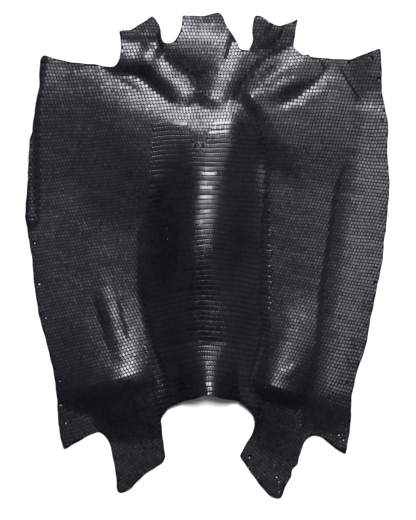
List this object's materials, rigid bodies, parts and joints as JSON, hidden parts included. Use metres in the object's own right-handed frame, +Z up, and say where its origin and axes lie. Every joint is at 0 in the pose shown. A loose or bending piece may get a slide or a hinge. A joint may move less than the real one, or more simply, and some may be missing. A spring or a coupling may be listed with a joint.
{
  "type": "lizard leather hide",
  "caption": "Flat black glazed lizard hide in one cut piece, with neck, leg stubs and soft folds, laid out with its scales up.",
  "frame": {"origin": "on the surface that the hide lies on, under the middle of its box", "axes": "+Y towards the neck, +Z up out of the scaled side, +X to the right seen from above with the neck up"},
  "size_m": [0.3002, 0.4012, 0.016],
  "materials": {
    "glazed_leather": "black aniline dye under a polished glaze, small raised scales"
  },
  "bodies": {
    "root": {"hide": "glazed_leather"}
  },
  "joints": []
}
